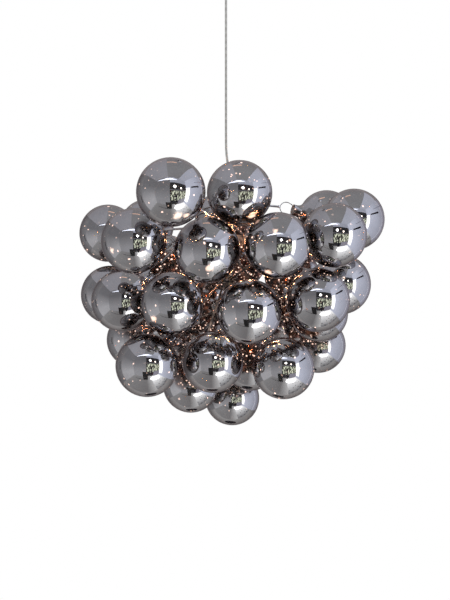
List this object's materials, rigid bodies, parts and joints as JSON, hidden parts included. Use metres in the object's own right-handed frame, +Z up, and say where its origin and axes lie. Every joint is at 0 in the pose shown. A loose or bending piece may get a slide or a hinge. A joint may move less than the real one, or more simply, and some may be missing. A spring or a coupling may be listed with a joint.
{
  "type": "pendant light",
  "caption": "Pendant light: a bunch of smoke-mirrored glass balls held by their necks on arms round a chromed stem, hung on one thin cord.",
  "frame": {"origin": "centre of the ceiling plate's upper face, which lies against the ceiling", "axes": "+Z up, -Y towards the viewer of the picture, +X to the viewer's right"},
  "size_m": [0.5096, 0.5762, 0.8216],
  "materials": {
    "mirror_glass": "thin smoke-grey mirror coat on clear blown glass, which lets some light through",
    "chrome": "polished plating",
    "zinc": "dull zinc plating on pressed sheet",
    "ceramic": "matt, unglazed",
    "nylon": "moulded",
    "cord": "clear grey jacket over the cores",
    "bulb_glass": "clear capsule, lit warm"
  },
  "bodies": {
    "ceiling": {"ceiling_plate": "zinc", "upper_cord_grip": "nylon", "terminal_block": "nylon", "cord_tail": "cord", "suspension_cord": "cord", "lower_cord_grip": "chrome"},
    "cup": {"ceiling_cup": "chrome", "cord_stop": "chrome", "stop_screw": "chrome"},
    "lamp": {"stem_tube": "chrome", "lead_harness": "nylon", "arm_tier_1": "chrome", "arm_tier_2": "chrome", "arm_tier_3": "chrome", "arm_tier_4": "chrome", "arm_tier_5": "chrome", "bulb_holder_1": "ceramic", "bulb_holder_2": "ceramic", "bulb_holder_3": "ceramic", "bulb_holder_4": "ceramic", "bulb_holder_5": "ceramic", "bulb_holder_6": "ceramic", "glass_ball_01": "mirror_glass", "glass_ball_02": "mirror_glass", "glass_ball_03": "mirror_glass", "glass_ball_04": "mirror_glass", "glass_ball_05": "mirror_glass", "glass_ball_06": "mirror_glass", "glass_ball_07": "mirror_glass", "glass_ball_08": "mirror_glass", "glass_ball_09": "mirror_glass", "glass_ball_10": "mirror_glass", "glass_ball_11": "mirror_glass", "glass_ball_12": "mirror_glass", "glass_ball_13": "mirror_glass", "glass_ball_14": "mirror_glass", "glass_ball_15": "mirror_glass", "glass_ball_16": "mirror_glass", "glass_ball_17": "mirror_glass", "glass_ball_18": "mirror_glass", "glass_ball_19": "mirror_glass", "glass_ball_20": "mirror_glass", "glass_ball_21": "mirror_glass", "glass_ball_22": "mirror_glass", "glass_ball_23": "mirror_glass", "glass_ball_24": "mirror_glass", "glass_ball_25": "mirror_glass", "glass_ball_26": "mirror_glass", "glass_ball_27": "mirror_glass", "glass_ball_28": "mirror_glass", "glass_ball_29": "mirror_glass", "glass_ball_30": "mirror_glass", "glass_ball_31": "mirror_glass", "glass_ball_32": "mirror_glass"},
    "bulb_1": {"bulb_1": "bulb_glass"},
    "bulb_2": {"bulb_2": "bulb_glass"},
    "bulb_3": {"bulb_3": "bulb_glass"},
    "bulb_4": {"bulb_4": "bulb_glass"},
    "bulb_5": {"bulb_5": "bulb_glass"},
    "bulb_6": {"bulb_6": "bulb_glass"}
  },
  "joints": [
    {"name": "cup_slide", "type": "slide", "parent": "ceiling", "child": "cup", "axis": [0, 0, -1], "range_m": [0, 0.12]},
    {"name": "lamp_turn", "type": "hinge", "parent": "ceiling", "child": "lamp", "pos_m": [0.0045, 0, -0.3946], "axis": [0, 0, 1], "range_deg": [-175, 175]},
    {"name": "bulb_1_pull", "type": "slide", "parent": "lamp", "child": "bulb_1", "axis": [0.7071, -0.7071, 0], "range_m": [0, 0.01]},
    {"name": "bulb_2_pull", "type": "slide", "parent": "lamp", "child": "bulb_2", "axis": [0.6428, 0.766, 0], "range_m": [0, 0.01]},
    {"name": "bulb_3_pull", "type": "slide", "parent": "lamp", "child": "bulb_3", "axis": [0, -1, 0], "range_m": [0, 0.01]},
    {"name": "bulb_4_pull", "type": "slide", "parent": "lamp", "child": "bulb_4", "axis": [-0.9659, 0.2588, 0], "range_m": [0, 0.01]},
    {"name": "bulb_5_pull", "type": "slide", "parent": "lamp", "child": "bulb_5", "axis": [0.866, 0.5, 0], "range_m": [0, 0.01]},
    {"name": "bulb_6_pull", "type": "slide", "parent": "lamp", "child": "bulb_6", "axis": [0.866, -0.5, 0], "range_m": [0, 0.01]}
  ]
}
